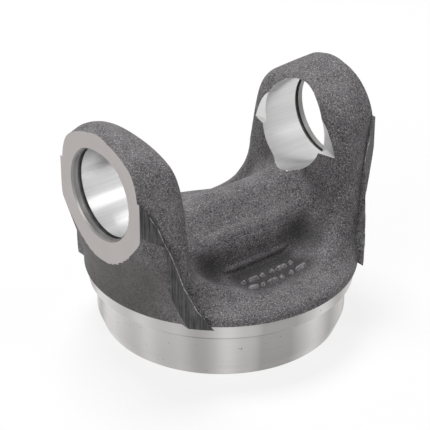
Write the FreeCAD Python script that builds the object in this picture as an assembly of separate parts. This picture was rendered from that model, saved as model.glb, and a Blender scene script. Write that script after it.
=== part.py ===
import FreeCAD, Part
import math
import os

from FreeCAD import Vector as V

os.makedirs("parts", exist_ok=True)

# Weld-end yoke: two ears with a cross bore, a saddle between them, and a turned end that is
# pressed into a drive tube. X is the cross-bore axis, Z the tube axis, z = 0 the tube-side face.

# ---------------------------------------------------------------- driving sizes, mm
# cross bore and the machined ear faces
axis_height = 70.0            # cross-bore axis above the tube-side face
ear_span = 112.4              # over the two outer faces
bore_diameter = 34.93
bore_chamfer = 0.6
groove_inset = 1.3            # outer face to the retaining-ring groove
groove_width = 1.7
groove_depth = 1.0
pad_spacing = 73.0            # between the milled inner pads
pad_floor = 64.5              # height where the pad cutter stops

# turned end
lead_in_diameter = 93.4
lead_in_height = 5.4
register_diameter = 97.5      # sits inside the tube
register_top = 17.0
land_bottom = 19.4            # weld bevel runs from the register up to here
land_diameter = 103.6
shoulder_height = 25.2        # underside of the forged flange

# forged blank
flange_diameter = 106.6
front_rim = 28.7              # the rim is lower at the back of the forging
back_rim = 25.7
rim_round = 3.4
rim_hollow = 8.0              # radius where the sides run down into the rim
side_draft = 0.10
draft_level = 63.0            # the sides have their nominal width here
side_arc = 150.0              # plan radius of the sides
side_middle = 35.4            # half width at the middle
ear_root = 34.0               # distance from the middle where the ears begin
left_top = 97.0               # ear tops before the outer faces are machined
right_top = 93.8
stock = 2.0                   # forged material beyond the outer faces
flare_slope = 0.29            # outer die, under the ears
flare_start = 43.0

# throat between the ears
throat_half = 32.0
low_spread = 8.5              # extra half gap beside the floor, at the spread reference
left_spread = 6.0             # the same beside each bore
right_spread = 9.5
spread_reference = 34.0
floor_height = 27.0
floor_rise = 1.9
floor_flat = 14.0
edge_round = 7.0
saddle_crest = 51.8
saddle_round = 7.0

# trimmed flash standing on the parting line
flash_proud = 0.9
flash_diameter = 111.2

# hollow in the tube-side face
dish_radius = 38.0
dish_depth = 14.0
dish_taper = 5.0

outer_x = ear_span / 2
blank_x = outer_x + stock
flange_r = flange_diameter / 2
land_r = land_diameter / 2
register_r = register_diameter / 2
bore_r = bore_diameter / 2


def half_width(x):
    # half width of the forging at distance x from the middle, at the draft level
    return side_middle - side_arc + math.sqrt(side_arc ** 2 - x ** 2)


def turned(points):
    # solid of revolution about the tube axis from (radius, height) points
    loop = [V(r, 0, z) for r, z in points]
    return Part.Face(Part.makePolygon(loop + loop[:1])).revolve(V(0, 0, 0), V(0, 0, 1), 360)


def smooth(points, **ends):
    # edge through the points, with end tangents if given
    curve = Part.BSplineCurve()
    curve.interpolate(points, **ends)
    return curve.toShape()


def rim_edges(shape, inside):
    # long level edges of the rim, either on the sides of the blank or on the flange wall
    found = []
    for edge in shape.Edges:
        box = edge.BoundBox
        middle = (box.ZMin + box.ZMax) / 2
        level = box.ZLength < 0.2 and min(abs(middle - front_rim), abs(middle - back_rim)) < 0.1
        reach = max(abs(box.YMin), abs(box.YMax))
        if level and box.XLength > 60 and (reach < 45) == inside and box.YLength < 30:
            found.append(edge)
    return found


# ---------------------------------------------------------------- ears
def ear_outline(x, top, corner, crown):
    # closed outline at distance x: drafted sides, round corners, crowned top
    lean = math.sqrt(1 + side_draft ** 2)
    line = half_width(x) + side_draft * draft_level
    middle = top - crown
    # the corner centre lies one radius inside the side line and inside the crown
    a = line - corner * lean
    qa = 1 + side_draft ** 2
    qb = -2 * (side_draft * a + middle)
    qc = a * a + middle ** 2 - (crown - corner) ** 2
    cz = (-qb + math.sqrt(qb * qb - 4 * qa * qc)) / (2 * qa)
    cy = a - side_draft * cz
    side = V(x, cy + corner / lean, cz + corner * side_draft / lean)
    away = math.hypot(cy, cz - middle)
    tip = V(x, cy * crown / away, middle + (cz - middle) * crown / away)
    knee_y = 1 / lean + cy / away
    knee_z = side_draft / lean + (cz - middle) / away
    size = math.hypot(knee_y, knee_z)
    knee = V(x, cy + corner * knee_y / size, cz + corner * knee_z / size)
    foot = V(x, line - side_draft * shoulder_height, shoulder_height)

    def other(p):
        return V(p.x, -p.y, p.z)

    return Part.Wire([
        Part.makeLine(foot, side),
        Part.Arc(side, knee, tip).toShape(),
        Part.Arc(tip, V(x, 0, top), other(tip)).toShape(),
        Part.Arc(other(tip), other(knee), other(side)).toShape(),
        Part.makeLine(other(side), other(foot)),
        Part.makeLine(other(foot), foot),
    ])


# one blank through both ears: round at the outer faces, squarer beside the throat
middle_x = (ear_root + blank_x) / 2
blank = Part.makeLoft([
    ear_outline(-blank_x, left_top, 22.0, 28.0),
    ear_outline(-middle_x, left_top - 3.8, 13.0, 44.0),
    ear_outline(-ear_root, left_top - 7.6, 6.0, 62.0),
    ear_outline(0, right_top - 7.6, 8.0, 62.0),
    ear_outline(ear_root, right_top - 7.6, 14.0, 62.0),
    ear_outline(middle_x, right_top - 3.8, 18.0, 44.0),
    ear_outline(blank_x, right_top, 22.0, 28.0),
], True, False)

# the outer die: a plain wall at the flange, then a flare under the ears
peak = 100.0
flare = [(flange_r, front_rim), (flange_r + 1.2, 37.0), (outer_x, flare_start),
         (outer_x + flare_slope * 13.0, flare_start + 13.0),
         (outer_x + flare_slope * (peak - flare_start), peak)]
flare_top = V(flare[-1][0], 0, peak)
die = Part.Wire([
    Part.makeLine(V(0, 0, 0), V(flange_r, 0, 0)),
    Part.makeLine(V(flange_r, 0, 0), V(flange_r, 0, front_rim)),
    smooth([V(r, 0, z) for r, z in flare], InitialTangent=V(0, 0, 8)),
    Part.makeLine(flare_top, V(0, 0, peak)),
    Part.makeLine(V(0, 0, peak), V(0, 0, 0)),
])
outer_form = Part.Face(die).revolve(V(0, 0, 0), V(0, 0, 1), 360)
disc_edge = flange_r + 6
front_half = Part.makeBox(2 * disc_edge, disc_edge, front_rim, V(-disc_edge, -disc_edge, 0))
back_half = Part.makeBox(2 * disc_edge, disc_edge, back_rim, V(-disc_edge, 0, 0))
body = blank.fuse([front_half, back_half]).common(outer_form).removeSplitter()
body = body.makeFillet(rim_hollow, rim_edges(body, True))
body = body.makeFillet(rim_round, rim_edges(body, False))


# ---------------------------------------------------------------- throat between the ears
def throat_outline(y):
    # gap between the ears at side distance y: flat floor, round corners, leaning walls
    away = (y / spread_reference) ** 2
    grow = 1.8 * away ** 2 / (1 + 0.8 * away ** 2)
    low = floor_height + floor_rise * away / (0.6 + 0.4 * away)
    if y > 0:
        low -= (front_rim - back_rim) * min(y / 28.0, 1.0)
    flat = 2.0 + floor_flat / (1 + (y / 27.0) ** 8)
    r = throat_half + low_spread * grow
    bend = r - flat
    c = low + bend
    s = bend * math.sqrt(0.5)
    bottom = Part.Arc(V(flat, y, low), V(flat + s, y, c - s), V(r, y, c)).toShape()
    right, left = [
        smooth([V(r, y, c), V(r + 0.3, y, c + 4.0), V(36.4 + spread * grow, y, 80.0),
                V(41.0 + spread * grow, y, 90.0), V(50.0 + spread * grow, y, 103.0)],
               InitialTangent=V(0, 0, 6), FinalTangent=V(6, 0, 8))
        for spread in (right_spread, left_spread)]
    across = V(1, 0, 0)
    return Part.Wire([
        Part.makeLine(V(-flat, y, low), V(flat, y, low)), bottom, right,
        Part.makeLine(V(50.0 + right_spread * grow, y, 103.0), V(-50.0 - left_spread * grow, y, 103.0)),
        left.mirror(V(0, 0, 0), across), bottom.mirror(V(0, 0, 0), across),
    ])


throat = Part.makeLoft([throat_outline(y) for y in (-44, -38, -33, -28, -22, -14, 0, 14, 22, 28, 33, 38, 44)],
                       True, False)

# saddle running from ear to ear under the cross
half = [(-21.6, 22.0), (-19.6, 36.5), (-17.0, 42.4), (-12.5, 45.0), (-8.0, 48.4), (-4.0, 51.2)]
profile = half + [(0, saddle_crest)] + [(-y, z) for y, z in reversed(half)]
crest = smooth([V(-45, y, z) for y, z in profile])
under = Part.makeLine(V(-45, 21.6, 22.0), V(-45, -21.6, 22.0))
saddle = Part.Face(Part.Wire([crest, under])).extrude(V(90, 0, 0))
tool = throat.cut(saddle)
roots = []
for edge in tool.Edges:
    box = edge.BoundBox
    if min(abs(box.XMin), abs(box.XMax)) > 12 and box.ZMax < 60:
        roots.append(edge)
tool = tool.makeFillet(saddle_round, roots)


def shared_edges(shape, first, second):
    # edges of a shape that lie on the surface of both other solids
    found = []
    for edge in shape.Edges:
        span = edge.LastParameter - edge.FirstParameter
        spots = [Part.Vertex(edge.valueAt(edge.FirstParameter + span * part)) for part in (0.2, 0.5, 0.8)]
        if all(other.Shells[0].distToShape(spot)[0] < 0.02 for other in (first, second) for spot in spots):
            found.append(edge)
    return found


# the whole mouth of the throat is rounded over
opened = body.cut(tool)
body = opened.makeFillet(edge_round, shared_edges(opened, tool, body))

# ---------------------------------------------------------------- trimmed flash on the parting line
# the band leans outward with height, from the flange underside to the outer faces
inner_line = [(36.5, 25.2), (40.5, 33.0), (43.6, 42.4), (46.4, 55.7), (49.6, 65.6), (53.0, 72.2), (59.0, 79.0)]
outer_line = [(43.2, 25.2), (46.4, 35.6), (48.6, 46.2), (50.5, 56.0), (59.0, 64.6)]
start, end = (V(inner_line[0][0], -60, shoulder_height), V(outer_line[0][0], -60, shoulder_height))
band_face = Part.Face(Part.Wire([
    smooth([V(x, -60, z) for x, z in inner_line]),
    Part.makeLine(V(59.0, -60, 79.0), V(59.0, -60, 64.6)),
    smooth([V(x, -60, z) for x, z in reversed(outer_line)]),
    Part.makeLine(end, start),
]))
band = band_face.extrude(V(0, 120, 0))
reach = half_width(blank_x) - 0.1
mid = side_middle + 1.8 * flash_proud
plan = Part.Wire([
    Part.Arc(V(-blank_x, -reach, 0), V(0, -mid, 0), V(blank_x, -reach, 0)).toShape(),
    Part.makeLine(V(blank_x, -reach, 0), V(blank_x, reach, 0)),
    Part.Arc(V(blank_x, reach, 0), V(0, mid, 0), V(-blank_x, reach, 0)).toShape(),
    Part.makeLine(V(-blank_x, reach, 0), V(-blank_x, -reach, 0)),
])
trim = Part.Face(plan).extrude(V(0, 0, peak)).fuse(Part.makeCylinder(flash_diameter / 2, peak))
band = band.common(trim)
other_band = band.mirror(V(0, 0, 0), V(1, 0, 0))
body = body.fuse([band, other_band])

# ---------------------------------------------------------------- machining
ring = turned([(land_r, -1), (blank_x + 10, -1), (blank_x + 10, shoulder_height), (land_r, shoulder_height)])
lower = turned([(lead_in_diameter / 2, -1), (lead_in_diameter / 2, 0), (register_r, lead_in_height),
                (register_r, register_top), (land_r, land_bottom), (land_r + 3, land_bottom), (land_r + 3, -1)])
dish = turned([(0, -1), (dish_radius, -1), (dish_radius, 0), (dish_radius - dish_taper, dish_depth),
               (0, dish_depth)])
bore = Part.makeCylinder(bore_r, 130, V(-65, 0, axis_height), V(1, 0, 0))
pads = Part.makeBox(pad_spacing, 100, 60, V(-pad_spacing / 2, -50, pad_floor))
cuts = [ring, lower, dish, bore, pads]
for side in (-1, 1):
    cuts.append(Part.makeBox(20, 120, 120, V(outer_x if side > 0 else -outer_x - 20, -60, 0)))
    cuts.append(Part.makeCylinder(bore_r + groove_depth, groove_width,
                                  V(side * (outer_x - groove_inset), 0, axis_height), V(-side, 0, 0)))
    cuts.append(Part.makeCone(bore_r + bore_chamfer, bore_r, bore_chamfer,
                              V(side * outer_x, 0, axis_height), V(-side, 0, 0)))
body = body.cut(cuts).removeSplitter()
body.exportStep("parts/weld_yoke.step")
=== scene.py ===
# %% [markdown]
# # A forged yoke and its finishes
# The yoke is one piece of steel. It was hammered between two dies, trimmed along the parting
# line, shot-blasted, and then machined only where something fits: the band that a tube is
# welded round, the two cross bores, the ends of the ears and the pads inside them.
# The shape comes packed from the CAD model. What is left for this lesson is its surface.
# Lengths are in millimetres, except where Blender takes metres.

# %% Load the forging
import math

import bpy
import numpy as np
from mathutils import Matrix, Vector
from mathutils.bvhtree import BVHTree


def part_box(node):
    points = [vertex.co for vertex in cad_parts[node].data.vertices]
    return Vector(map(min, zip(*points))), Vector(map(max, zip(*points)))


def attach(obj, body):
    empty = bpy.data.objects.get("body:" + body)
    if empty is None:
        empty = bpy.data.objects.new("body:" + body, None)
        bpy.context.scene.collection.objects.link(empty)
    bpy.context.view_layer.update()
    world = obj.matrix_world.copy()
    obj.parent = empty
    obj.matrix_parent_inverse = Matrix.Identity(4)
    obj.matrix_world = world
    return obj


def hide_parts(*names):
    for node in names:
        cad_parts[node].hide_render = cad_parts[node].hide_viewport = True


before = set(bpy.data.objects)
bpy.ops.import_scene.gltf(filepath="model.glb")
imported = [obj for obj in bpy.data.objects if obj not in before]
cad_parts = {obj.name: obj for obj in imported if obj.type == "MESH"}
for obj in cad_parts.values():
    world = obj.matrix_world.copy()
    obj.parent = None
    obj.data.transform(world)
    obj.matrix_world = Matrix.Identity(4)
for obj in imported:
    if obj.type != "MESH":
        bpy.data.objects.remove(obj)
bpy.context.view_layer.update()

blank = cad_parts["weld_yoke"]
lowest, highest = (1000 * np.array(corner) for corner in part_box("weld_yoke"))
print("forging, in millimetres, from", lowest.round(1), "to", highest.round(1))

# %% [markdown]
# ## One closed skin
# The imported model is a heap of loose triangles, so light breaks at every one of them. It could
# be left like that and shaded flat, but a forging flows. Here a copy has its shared corners
# made one, so that neighbours can share a normal. Numpy finds the equal corners in one go.

# %% Make the corners one
def shell(name, points, triangles):
    """A piece from points (n, 3) in metres and triangles (m, 3) of point numbers. Points that
    agree to a ten-thousandth of a millimetre become one, and triangles left with two equal
    corners are dropped. All of it is shaded smooth."""
    per_metre = 1e7
    _, first, same = np.unique(np.round(points * per_metre).astype(np.int64), axis=0,
                               return_index=True, return_inverse=True)
    a, b, c = same.reshape(-1)[triangles].T
    kept = np.stack((a, b, c), axis=1)[(a != b) & (b != c) & (c != a)]
    mesh = bpy.data.meshes.new(name)
    mesh.from_pydata(points[first].tolist(), [], kept.tolist())
    mesh.validate()
    mesh.update()
    mesh.polygons.foreach_set("use_smooth", np.ones(len(mesh.polygons), bool))
    piece = bpy.data.objects.new(name, mesh)
    bpy.context.scene.collection.objects.link(piece)
    return piece


def points_of(piece):
    """The points of a piece, (n, 3), in millimetres."""
    points = np.empty(3 * len(piece.data.vertices), np.float32)
    piece.data.vertices.foreach_get("co", points)
    return 1000 * points.reshape(-1, 3).astype(float)


blank.data.calc_loop_triangles()
triangles = np.empty(3 * len(blank.data.loop_triangles), np.int32)
blank.data.loop_triangles.foreach_get("vertices", triangles)
triangles = triangles.reshape(-1, 3)
yoke = shell("forged_yoke", points_of(blank) / 1000, triangles)
print("triangles", len(triangles), "points from", len(blank.data.vertices),
      "to", len(yoke.data.vertices))

# %% [markdown]
# ## Ease the near ear, set the grooves in
# The near ear's top falls away a little before its machined end, where the dies wore, and the
# ring grooves sit a little further in than the first cut. Both are small slides of points that
# are already there, so a formula on the whole array does them, and no new edge is needed.

# %% Slide the points
bore_height = 70.0            # the cross bore's axis above the bottom face
bore_radius = 17.465
groove_span = (53.0, 55.1)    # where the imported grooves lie, along the axis from the middle
groove_depth = 1.3
groove_set_in = 1.3
top_drop = 2.5
drop_outwards = (49.5, highest[0])    # the drop grows from the first of each pair to the second
drop_upwards = (84.0, 95.0)


def ease(value, start, end):
    """0 up to start, 1 from end on, and 3t² - 2t³ between them."""
    t = np.clip((value - start) / (end - start), 0, 1)
    return t * t * (3 - 2 * t)


x, y, z = points_of(yoke).T
z -= top_drop * ease(-x, *drop_outwards) * ease(z, *drop_upwards)
from_axis = np.hypot(y, z - bore_height)
in_groove = ((np.abs(x) > groove_span[0]) & (np.abs(x) < groove_span[1])
             & (from_axis > bore_radius - 0.1) & (from_axis < bore_radius + groove_depth))
x -= np.where(in_groove, np.sign(x) * groove_set_in, 0)
yoke.data.vertices.foreach_set("co", (np.stack((x, y, z), axis=1) / 1000).ravel())
yoke.data.update()
print("points slid into the grooves", int(in_groove.sum()), "top now", z.max().round(2))

# %% [markdown]
# ## Soft where forged, crisp where cut
# A fillet is smooth and a machined edge is sharp. Marking as sharp each edge that turns more
# than some angle keeps both. Weighted normals then let the wide flat faces stay flat, so no
# shade creeps in from the fillet beside them.

# %% Smooth and sharp edges
crease = 33                   # degrees
yoke.data.set_sharp_from_angle(angle=math.radians(crease))
flat_faces = yoke.modifiers.new("flat_faces", "WEIGHTED_NORMAL")
flat_faces.keep_sharp = True
print("edges sharper than", crease, "degrees stay crisp")

# %% [markdown]
# ## Which face was cut with what
# Each finish belongs to faces that a tool made, so it ends exactly at their edges. A painted
# mask would blur there. Each triangle is asked instead where its middle lies and which way it
# faces, and gets the number of its finish. Where two tests hold, the later one counts.

# %% Sort the faces by how they were made
finishes = ["forged_skin", "trimmed_flash", "torn_edge", "turned_band", "bored_steel",
            "bore_mouth", "ring_groove", "faced_end", "milled_pad"]
number = {name: i for i, name in enumerate(finishes)}
pad_reach = 36.5              # from the middle to a pad
pad_floor = 64.5              # the height of its shelf
band_radius, band_top = 51.8, 25.2
dish_radius, dish_top = 46.0, 20.0    # the hollow under the base lies inside these
flash_foot = 29.5             # the walls start this high,
rim_reach = 54.0              # and lower where they stand out past the rim
torn_foot, torn_start = 30.0, 34.0    # height, and distance from the middle
mouth_bevel = 1.0
groove_from, groove_to = (edge - groove_set_in for edge in groove_span)
slack, fine_slack = 0.15, 0.1

count = len(yoke.data.polygons)
middles, facing = np.empty(3 * count, np.float32), np.empty(3 * count, np.float32)
yoke.data.polygons.foreach_get("center", middles)
yoke.data.polygons.foreach_get("normal", facing)
x, y, z = 1000 * middles.reshape(-1, 3).T
nx, ny, nz = facing.reshape(-1, 3).T
out, across, from_axis = np.abs(x), np.hypot(x, y), np.hypot(y, z - bore_height)

# the flash stands at the front and back of the ears, so its tests leave the middle out
upright = (np.abs(nz) < 0.03) & (np.abs(y) > 18) & (x * nx + y * ny > 0)
level = (np.abs(ny) < 0.005) & (np.abs(y) > 20) & (np.abs(nx) < 0.995) & (np.abs(nz) < 0.995)
above_band = z > band_top + fine_slack
in_dish = (across < dish_radius) & (z > 0.05) & (z < dish_top)
under_shoulder = (nz < -0.95) & ~above_band & (across > band_radius - 1)
tests = {
    "trimmed_flash": upright & ((z > flash_foot) | ((across > rim_reach) & above_band)),
    "torn_edge": level & (z > torn_foot) & (out > torn_start) & (x * nx < 0),
    "turned_band": ((across < band_radius + slack) & (z < band_top) & ~in_dish)
                   | under_shoulder,
    "bored_steel": (from_axis < bore_radius + slack) & (out > 30),
    "bore_mouth": (from_axis < bore_radius + mouth_bevel) & (out > groove_to - fine_slack)
                  & (np.abs(nx) < 0.95),
    "ring_groove": (out > groove_from) & (out < groove_to)
                   & (from_axis < bore_radius + groove_depth)
                   & ((np.abs(nx) > 0.9) | (from_axis > bore_radius + 0.4)),
    "faced_end": (out > highest[0] - fine_slack) & (np.abs(nx) > 0.9),
    "milled_pad": ((np.abs(nx) > 0.99) & (np.abs(out - pad_reach) < slack) & (z > 60))
                  | ((nz > 0.99) & (np.abs(z - pad_floor) < slack) & (np.abs(y) < 23)
                     & (out > 30)),
}
made_by = np.zeros(count, np.int32)
for name, test in tests.items():
    made_by[test] = number[name]
yoke.data.polygons.foreach_set("material_index", made_by)
print({name: int((made_by == i).sum()) for name, i in number.items()})

# %% [markdown]
# ## Shader sums as plain formulas
# A steel finish is a few patterns added and compared. In the node editor that is a thicket.
# Here one small class stands for a socket, so that `0.4 + 0.2 * grain` adds the Math nodes by
# itself, and another holds the tree and adds every other kind of node in one way.

# %% Sockets that can be added
class Wire:
    """One output socket. +, - and * on it, and abs(), add Math nodes to its tree."""

    def __init__(self, wiring, socket):
        self.wiring, self.socket = wiring, socket

    def __add__(self, other):
        return self.wiring.sum("ADD", self, other)

    def __sub__(self, other):
        return self.wiring.sum("SUBTRACT", self, other)

    def __rsub__(self, other):
        return self.wiring.sum("SUBTRACT", other, self)

    def __mul__(self, other):
        return self.wiring.sum("MULTIPLY", self, other)

    __radd__ = __add__
    __rmul__ = __mul__

    def __abs__(self):
        return self.wiring.sum("ABSOLUTE", self)

    def root(self):
        return self.wiring.sum("SQRT", self)

    def larger(self, other):
        return self.wiring.sum("MAXIMUM", self, other)

    def between(self, low, high):
        """0 at low, 1 at high, straight between them and level outside."""
        return self.wiring.sum("MULTIPLY", self - low, 1 / (high - low), clamp=True)


class Wiring:
    """The nodes of one material or of the world."""

    def __init__(self, tree):
        self.tree = tree
        tree.nodes.clear()

    def node(self, kind, settings=None, values=None, output=0):
        node = self.tree.nodes.new("ShaderNode" + kind)
        for name, value in (settings or {}).items():
            setattr(node, name, value)
        for name, value in (values or {}).items():
            if isinstance(value, Wire):
                self.tree.links.new(value.socket, node.inputs[name])
            else:
                node.inputs[name].default_value = value
        return Wire(self, node.outputs[output]) if node.outputs else None

    def sum(self, operation, first, second=0.0, clamp=False):
        return self.node("Math", {"operation": operation, "use_clamp": clamp},
                         {0: first, 1: second})

    def place(self, stretch=(1.0, 1.0, 1.0)):
        """Where a point lies on the piece, in millimetres, stretched along each axis."""
        where = self.node("TexCoord", output="Object")
        return self.node("VectorMath", {"operation": "MULTIPLY"},
                         {0: where, 1: tuple(1000 * share for share in stretch)})

    def axes(self):
        """x, y and z of a point on the piece, in millimetres."""
        split = self.node("SeparateXYZ", None, {0: self.place()}).socket.node
        return [Wire(self, socket) for socket in split.outputs]

    def cloud(self, size, stretch=(1.0, 1.0, 1.0), detail=2.0, roughness=0.5):
        """Soft noise from 0 to 1 with lumps of that size in millimetres."""
        return self.node("TexNoise", None, {"Vector": self.place(stretch), "Scale": 1 / size,
                                            "Detail": detail, "Roughness": roughness})

    def blend(self, share, first, second):
        """The first colour where share is 0, the second where it is 1."""
        return self.node("Mix", {"data_type": "RGBA"}, {0: share, 6: first, 7: second}, output=2)

    def surface(self, values, height=None, depth=0.0):
        """Ends the tree in one shader. height, 0 to 1, stands depth metres high."""
        if height is not None:
            values["Normal"] = self.node("Bump", None, {"Height": height, "Distance": depth})
        self.node("OutputMaterial", None, {"Surface": self.node("BsdfPrincipled", None, values)})


def grey(level, warmth=0.0, violet=0.0):
    """A grey of that level, redder and less blue as warmth grows, less green as violet grows.
    Four numbers, the last for a solid colour."""
    return (level * (1 + warmth), level * (1 - violet), level * (1 - warmth), 1.0)


def new_finish(name):
    material = bpy.data.materials.new(name)
    material.use_nodes = True
    return material, Wiring(material.node_tree)


def use_finish(maker):
    """Makes a finish, named as its function is, and puts it in the forging's next slot. The
    faces sorted for it have that slot's number."""
    material = maker(maker.__name__)
    yoke.data.materials.append(material)
    print(material.name, "on", int((made_by == number[material.name]).sum()), "faces, with",
          len(material.node_tree.nodes), "nodes")


print("slots to fill:", len(finishes))

# %% [markdown]
# ## The forged skin
# Scale and steel shot leave a dark grey skin with bright flecks about half a millimetre wide,
# over patches a few millimetres wide. Below the bored ends the dies rubbed it smooth, and there
# it is browner and plainer. In the pocket and in the corners at the ends of the saddle, shade is
# painted into the skin as near black. Noise of four sizes makes the skin, and the three places
# are formulas of where a point lies.

# %% Forged skin
saddle_end = (23.0, 21.0, 35.0)    # where the saddle's front and back meet an ear


def forged_skin(name, painted_shade_strength=0.78, lightest=0.205):
    """Colour is dark grey, mixed towards light grey by grain + patches, then flecked where the
    fine grain peaks. The rubbed share is 1 near the ends and low down. The painted shade share is
    1 in the pocket, a product of ramps in x and y, and in the corners, a ramp of the distance:
    there shade is painted in as near black."""
    material, w = new_finish(name)
    grain = w.cloud(0.8, detail=4.0, roughness=0.8)
    patches = w.cloud(6.0, detail=4.0)
    broad = w.cloud(28.0)
    flecks = w.cloud(0.45, detail=2.0, roughness=0.7).between(0.52, 0.70)
    x, y, z = w.axes()
    out = abs(x)
    rubbed = out.between(45, 51) * (1 - z.between(44, 58))
    # painted shade: the pocket and the corners at the ends of the saddle are taken near black
    pocket = (x.between(-19, -12) * (1 - x.between(14, 21)) * y.between(-41, -34)
              * (1 - y.between(-23, -20)) * (1 - z.between(31, 35)))
    aside, ahead, above = (way - end for way, end in zip((out, abs(y), z), saddle_end))
    corners = 1 - (aside * aside + ahead * ahead + above * above).root().between(2, 13)
    painted_shade = pocket.larger(corners) * painted_shade_strength
    tone = (grain * 1.2 + patches * 0.3 + broad * 0.2).between(0.66, 1.06)
    skin = w.blend(tone, grey(0.016, violet=0.08), grey(lightest, 0.01, 0.05))
    skin = w.blend(flecks * (0.66 - 0.5 * rubbed), skin, grey(0.60, violet=0.02))
    skin = w.blend(rubbed * 0.6, skin, grey(0.075, 0.10, 0.02))
    # the painted shade, near black, goes in last
    skin = w.blend(painted_shade, skin, grey(0.012, violet=0.05))
    w.surface({"Base Color": skin, "Metallic": 0.5 * flecks, "Specular IOR Level": 0.3,
               "Roughness": 0.66 - 0.2 * flecks - 0.06 * rubbed},
              height=grain * 0.6 + flecks * 0.4, depth=0.0003)
    return material


use_finish(forged_skin)

# %% [markdown]
# ## Trimmed flash and its torn edge
# The dies squeeze a thin fin out along their parting line, and a trimming die shears it off.
# That leaves a dark wall with upright scratches, and a bright torn edge where the metal tore.
# The scratches could be modelled, but they are too fine and too many, so noise drawn out along Z
# gives them.

# %% Flash
def trimmed_flash(name):
    """Upright streaks: noise that changes fast across and thirty times slower upwards."""
    material, w = new_finish(name)
    streaks = w.cloud(0.6, stretch=(1, 1, 0.06), detail=4.0, roughness=0.7)
    patches = w.cloud(6.0)
    tone = (streaks * 0.9 + patches * 0.3).between(0.50, 0.85)
    w.surface({"Base Color": w.blend(tone, grey(0.022, violet=0.05), grey(0.14)), "Metallic": 0.3,
               "Roughness": 0.40 + 0.2 * patches}, height=streaks, depth=0.00018)
    return material


def torn_edge(name):
    """Bright steel, broken up by grains under a millimetre wide."""
    material, w = new_finish(name)
    torn = w.cloud(0.7, detail=3.0)
    w.surface({"Base Color": w.blend(torn.between(0.35, 0.65), grey(0.10), grey(0.48)),
               "Metallic": 0.7, "Roughness": 0.45}, height=torn, depth=0.0001)
    return material


use_finish(trimmed_flash)
use_finish(torn_edge)

# %% [markdown]
# ## The turned band
# The lathe leaves rings a fraction of a millimetre apart. Light smears across them, so the band
# shows soft upright bars of light and shade. An anisotropic shader could do that, but the bars
# would then hang on the lamps, so they are in the colour. A few handling nicks are left in it.

# %% Turned band
def turned_band(name):
    """Rings are noise squeezed along Z. The bars are slow noise of the direction round the axis,
    x and y over their length."""
    material, w = new_finish(name)
    rings = w.cloud(0.5, stretch=(0.02, 0.02, 1), detail=2.0)
    towards = w.node("VectorMath", {"operation": "NORMALIZE"}, {0: w.place((1, 1, 0))})
    bars = w.node("TexNoise", None, {"Vector": towards, "Scale": 2.2, "Detail": 1.0})
    nicks = w.cloud(1.3, stretch=(1, 1, 1.6), detail=1.0).between(0.76, 0.80)
    steel = w.blend(bars.between(0.38, 0.62), grey(0.33, 0.03, 0.015), grey(0.68, 0.02, 0.01))
    steel = w.blend(rings.between(0.3, 0.7) * 0.2, steel, grey(0.46))
    steel = w.blend(nicks * 0.8, steel, grey(0.06))
    w.surface({"Base Color": steel, "Metallic": 0.95, "Roughness": 0.26 + 0.14 * rings},
              height=rings, depth=0.00003)
    return material


use_finish(turned_band)

# %% [markdown]
# ## Bores and ring grooves
# A boring bar runs along the axis and a hone follows it, so a bore has fine streaks along X and
# is the brightest steel on the part. The groove beside its mouth holds a ring. Its tool leaves
# it rough, little light gets in, and its colour is painted dark for that shade. Each is a noise
# with its own stretch, so one way serves all.

# %% Bored steel and grooves
def bored_steel(name):
    """Fine streaks, noise drawn out thirty times along X, over broader ones."""
    material, w = new_finish(name)
    streaks = w.cloud(0.8, stretch=(0.03, 1, 1), detail=3.0, roughness=0.6)
    broad = w.cloud(9.0, stretch=(0.1, 1, 1))
    steel = w.blend((streaks * 0.7 + broad * 0.5).between(0.30, 0.90), grey(0.52), grey(0.72))
    w.surface({"Base Color": steel, "Metallic": 1.0, "Roughness": 0.24 + 0.12 * streaks},
              height=streaks, depth=0.00001)
    return material


def bore_mouth(name):
    """The bevel and land outside the groove: duller steel with a slow haze."""
    material, w = new_finish(name)
    haze = w.cloud(4.0, stretch=(1, 0.5, 0.5))
    w.surface({"Base Color": w.blend(haze, grey(0.17, 0.02), grey(0.34, 0.02)), "Metallic": 0.95,
               "Roughness": 0.34 + 0.1 * haze})
    return material


def ring_groove(name):
    """Steel painted dark as the shade in the groove, with oil in patches."""
    material, w = new_finish(name)
    oil = w.cloud(3.0, detail=3.0)
    # painted shade: the groove's steel is taken dark
    w.surface({"Base Color": w.blend(oil, grey(0.08), grey(0.30)), "Metallic": 0.8,
               "Roughness": 0.45})
    return material


use_finish(bored_steel)
use_finish(bore_mouth)
use_finish(ring_groove)

# %% [markdown]
# ## Faced ends and milled pads
# A wide cutter sweeps over each end of the ears, and an end mill over the pads inside them. The
# ends look flat and matt, with faint rings about the bore. The pads are brighter, with straight
# marks.

# %% Faced and milled steel
def faced_end(name):
    """Rings: noise of the distance from the bore's axis, the root of y² + (z - height)²."""
    material, w = new_finish(name)
    _, y, z = w.axes()
    above = z - bore_height
    distance = (y * y + above * above).root()
    rings = w.node("TexNoise", {"noise_dimensions": "1D"}, {"W": distance, "Scale": 2.4})
    haze = w.cloud(14.0, detail=2.0)
    tone = (rings * 0.35 + haze * 0.5).between(0.25, 0.62)
    w.surface({"Base Color": w.blend(tone, grey(0.43, 0.045, 0.025), grey(0.47, 0.04, 0.02)),
               "Metallic": 0.85, "Roughness": 0.42 + 0.1 * rings}, height=rings, depth=0.00002)
    return material


def milled_pad(name):
    """Straight marks: noise drawn out twenty-five times along Y."""
    material, w = new_finish(name)
    marks = w.cloud(0.6, stretch=(1, 0.04, 1), detail=2.0)
    haze = w.cloud(10.0)
    tone = (marks * 0.5 + haze * 0.5).between(0.3, 0.7)
    w.surface({"Base Color": w.blend(tone, grey(0.62, 0.01), grey(0.76)), "Metallic": 0.95,
               "Roughness": 0.30 + 0.12 * marks}, height=marks, depth=0.00002)
    return material


use_finish(faced_end)
use_finish(milled_pad)
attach(yoke, "root")
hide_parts("weld_yoke")
print("finishes on the forging:", [slot.name for slot in yoke.data.materials])

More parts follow.
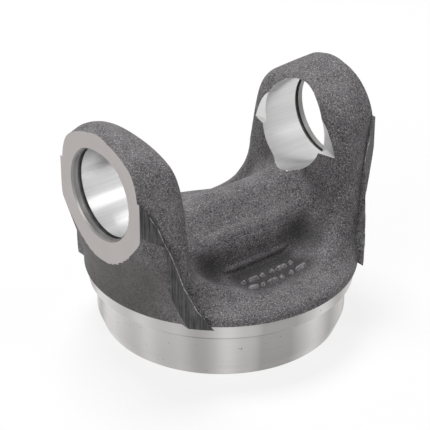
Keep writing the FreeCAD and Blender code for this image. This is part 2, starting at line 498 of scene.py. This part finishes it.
# %% [markdown]
# ## The burr on the parting line
# Where the trimming die let go, a thin bright burr stands along the edge of each flash wall. It
# could be a bevel on the wall's edge, but a burr wanders and swells. So it is a thin bead: a
# round section carried along a path that lies on the skin, with its thickness waving on the way.

# %% Burrs
skin = BVHTree.FromPolygons([v.co for v in yoke.data.vertices],
                            [p.vertices for p in yoke.data.polygons])


def ring_faces(rings, spokes):
    """Triangles of a skin over rings of that many points each: two between every pair of
    neighbours on one ring and the same pair on the next."""
    i, j = np.meshgrid(np.arange(rings - 1), np.arange(spokes), indexing="ij")
    here, beside = i * spokes + j, i * spokes + (j + 1) % spokes
    quads = np.stack((here, here + spokes, beside + spokes, beside), axis=2).reshape(-1, 4)
    return np.concatenate((quads[:, (0, 1, 2)], quads[:, (0, 2, 3)]))


def bead(path, thickness, square_to, spokes=8):
    """Points and triangles of a bead. At each point of the path, (n, 3), the section is
    thickness times cos and sin of the angle along two directions square to the way ahead."""
    ahead = np.gradient(path, axis=0)
    ahead /= np.linalg.norm(ahead, axis=1, keepdims=True)
    side = np.cross(ahead, square_to)
    side /= np.linalg.norm(side, axis=1, keepdims=True)
    up = np.cross(side, ahead)
    angle = np.linspace(0, 2 * math.pi, spokes, endpoint=False)[None, :, None]
    ring = np.cos(angle) * side[:, None] + np.sin(angle) * up[:, None]
    points = (path[:, None] + thickness[:, None, None] * ring).reshape(-1, 3)
    return points, ring_faces(len(path), spokes)


def touch(start, way):
    """Where a ray from start, in millimetres, meets the skin, and which way the skin faces."""
    hit, normal, _, _ = skin.ray_cast(Vector(start) / 1000, Vector(way))
    return 1000 * np.array(hit), np.array(normal)


def joined(name, parts, finish):
    """One piece from several (points in millimetres, triangles)."""
    starts = np.cumsum([0] + [len(points) for points, _ in parts[:-1]])
    piece = shell(name, np.concatenate([points for points, _ in parts]) / 1000,
                  np.concatenate([faces + start for (_, faces), start in zip(parts, starts)]))
    piece.data.materials.append(yoke.data.materials[finish])
    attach(piece, "root")
    print(name, "parts", len(parts), "triangles", len(piece.data.polygons))
    return piece


# the flash wall's inner edge on one ear, from the rim up: distance from the middle, height
edge_line = [(37.1, 26.5), (41.0, 33.0), (44.1, 42.4), (46.9, 55.7), (50.1, 65.6), (53.2, 71.5)]
along = np.linspace(0, 1, 60)
stations = np.linspace(0, 1, len(edge_line))
edge_out, edge_height = (np.interp(along, stations, line) for line in np.array(edge_line).T)
ray_start = 70                # clear of the forging, along Y
burrs = []                    # their thickness wanders in two waves, and ends in nothing
for ear in (-1, 1):
    for flank in (-1, 1):
        path = np.array([touch((ear * x, flank * ray_start, z), (0, -flank, 0))[0]
                         for x, z in zip(edge_out, edge_height)])
        wave = 0.17 + 0.06 * np.sin(37 * along + ear) + 0.05 * np.sin(91 * along + flank)
        burrs.append(bead(path, wave * np.sin(math.pi * along) ** 0.3, (0, 1, 0)))
joined("parting_burr", burrs, "torn_edge")

# %% [markdown]
# ## Ribs across the saddle
# The die left two soft ribs across the front of the saddle: a broad one below its crest, and a
# sharper one over the pocket. Moving the skin itself would need more points than it has there.
# So they are the same bead again, sunk so that only its back shows.

# %% Ribs
def drop(x, y):
    """Where a point let fall from above the saddle lands on the skin, and the skin's normal."""
    above_saddle = 60
    return touch((x, y, above_saddle), (0, 0, -1))


def rib(half_length, forward, radius, stands):
    """A bead across the saddle whose back stands that far out of the skin. Its centre lies
    below the skin by radius - stands, and it sinks away towards both ends."""
    across = np.linspace(-half_length, half_length, 41)
    sunk = radius - stands * (1 - (across / half_length) ** 6)
    hits, normals = np.array([drop(x, forward) for x in across]).transpose(1, 0, 2)
    path = hits - sunk[:, None] * normals
    window = 9                # stations that each point of the path is averaged over
    smooth = np.array([np.convolve(np.pad(line, window // 2, "edge"), np.ones(window) / window,
                                   "valid") for line in path.T]).T
    return bead(smooth, np.full(len(across), radius), (0, 0, 1), spokes=48)


joined("saddle_ribs", [rib(23, -14.9, 5.0, 0.7), rib(17, -20.8, 1.9, 0.9)], "forged_skin")

# %% [markdown]
# ## Raised marks in the pocket
# A forging carries raised marks, cut into the die, in the pocket between its ears. Theirs are
# plain here: bosses and short bars that stand for nothing. Each is a low mound, and a mound with
# a long spine is a bar, so one formula makes both. A ray dropped onto the skin says how high
# each one sits and which way the skin leans there.

# %% Marks
def mound(half_spine, radius, height, spokes=24, steps=7):
    """Points and triangles of a closed mound. Round the rim by angle s and outwards by t, a
    point is the end of the spine on its side plus t times radius, and its height falls from
    height at the spine, as 1 - t², to below the skin. A last ring closes it underneath."""
    below = -0.8
    s = np.linspace(0, 2 * math.pi, spokes, endpoint=False) + math.pi / spokes
    outwards = np.linspace(0, 1.15, steps)
    t = np.append(outwards, 0.0)[:, None]
    across = half_spine * np.sign(np.cos(s)) + t * radius * np.cos(s)
    along = t * radius * np.sin(s)
    up = np.append(height * (1 - outwards ** 2), below)[:, None] + 0 * s
    points = np.stack((across, along, up), axis=2).reshape(-1, 3)
    return points, ring_faces(steps + 1, spokes)


dot, bar = 0.0, 1.5           # half the length of a mark's spine
rows = {-27.5: (dot, bar, dot, dot, bar, dot), -33.5: (bar, dot, bar, dot, dot, bar)}
row_start, step = -11.0, 4.6
mark_radius, mark_height = 1.2, 1.3
mounds = []
for forward, row in rows.items():
    for i, half_spine in enumerate(row):
        hit, normal = drop(row_start + step * i, forward)
        turn = np.array(Vector((0, 0, 1)).rotation_difference(Vector(normal)).to_matrix())
        points, faces = mound(half_spine, mark_radius, mark_height)
        mounds.append((points @ turn.T + hit, faces))
pocket_marks = joined("pocket_marks", mounds, "forged_skin")
# painted light: the marks get a lighter copy of the skin, without its painted shade, so they
# stand out
pocket_marks.data.materials[0] = forged_skin("raised_skin_painted_light", painted_shade_strength=0.0, lightest=0.34)

# %% [markdown]
# ## The floor
# The part stands on a plain white sheet. It could be lit until it is white, but that would
# bleach the steel too. So a fifth of what the eye gets from the wide square is its own colour
# under the lamps, which keeps the shadow, and the rest is white.

# %% Floor
def sees_background(w):
    """1 for what the camera, a gloss or a clear material sees, 0 for light that falls on
    things."""
    kinds = [w.node("LightPath", output=f"Is {kind} Ray")
             for kind in ("Camera", "Glossy", "Transmission")]
    return (kinds[0] + kinds[1] + kinds[2]).between(0, 1)


half_width = 2.0              # metres
square = half_width * np.array([(-1, -1, 0), (1, -1, 0), (1, 1, 0), (-1, 1, 0)])
floor = shell("floor", square, np.array([(0, 1, 2), (0, 2, 3)]))
white_share = 0.8
sheet, w = new_finish("white_sheet")
paper = w.node("BsdfDiffuse", None, {"Color": grey(0.90)})
bright = w.node("Emission", None, {"Color": grey(1.0), "Strength": 1.0})
seen = w.node("MixShader", None, {0: white_share * sees_background(w), 1: paper, 2: bright})
w.node("OutputMaterial", None, {"Surface": seen})
floor.data.materials.append(sheet)
print("floor", 2 * half_width, "metres wide")

# %% [markdown]
# ## Studio light
# Even air all round keeps the shade from going black, as in a light tent. One strong soft lamp
# above and a little behind gives the forging its form, and weaker ones on the left and in front
# open the shade. The camera and the steel's gloss see the air white.

# %% Air and lamps
def aimed(name, data, target, azimuth, elevation, distance):
    """An object at that distance from the target that looks at it, upright. Azimuth 0 stands
    at -Y and 90 at +X, in degrees."""
    a, e = math.radians(azimuth), math.radians(elevation)
    away = Vector((math.sin(a) * math.cos(e), -math.cos(a) * math.cos(e), math.sin(e)))
    thing = bpy.data.objects.new(name, data)
    thing.location = target + distance * away
    thing.rotation_euler = (-away).to_track_quat("-Z", "Y").to_euler()
    bpy.context.scene.collection.objects.link(thing)
    return thing


def softbox(name, azimuth, elevation, size, watts):
    """A square lamp, size metres wide, aimed at the middle of the part."""
    middle, distance = Vector((0, 0, 0.05)), 1.2
    lamp = bpy.data.lights.new(name, "AREA")
    lamp.size, lamp.energy = size, watts
    return aimed(name, lamp, middle, azimuth, elevation, distance)


world = bpy.data.worlds.new("light_tent")
bpy.context.scene.world = world
world.use_nodes = True
w = Wiring(world.node_tree)
air, white = (w.node("Background", None, {"Color": grey(1.0), "Strength": strength})
              for strength in (0.2, 1.0))
w.node("OutputWorld", None, {"Surface": w.node("MixShader", None,
                                               {0: sees_background(w), 1: air, 2: white})})
softbox("lamp_top", azimuth=165, elevation=70, size=0.5, watts=12.0)
softbox("lamp_left", azimuth=-75, elevation=30, size=0.7, watts=4.2)
softbox("lamp_front", azimuth=25, elevation=45, size=0.5, watts=1.8)

# %% [markdown]
# ## Camera
# A long lens far back keeps the two ears in proportion. It stands to the left of the front and
# looks down at about thirty degrees.

# %% Camera
lens = bpy.data.cameras.new("camera")
lens.sensor_width = 36.0
lens.lens = 144.79
lens.clip_start = 0.01
look_at = Vector((0.00939, 0.01551, 0.03182))
camera = aimed("camera", lens, look_at, azimuth=-38.4877, elevation=29.4798, distance=0.68738)
bpy.context.scene.camera = camera
bpy.context.scene.view_settings.view_transform = "Standard"
print("camera at", [round(v, 4) for v in camera.location])

# %% [markdown]
# ## The end
# The scene is brought up to date.

# %% Update
bpy.context.view_layer.update()
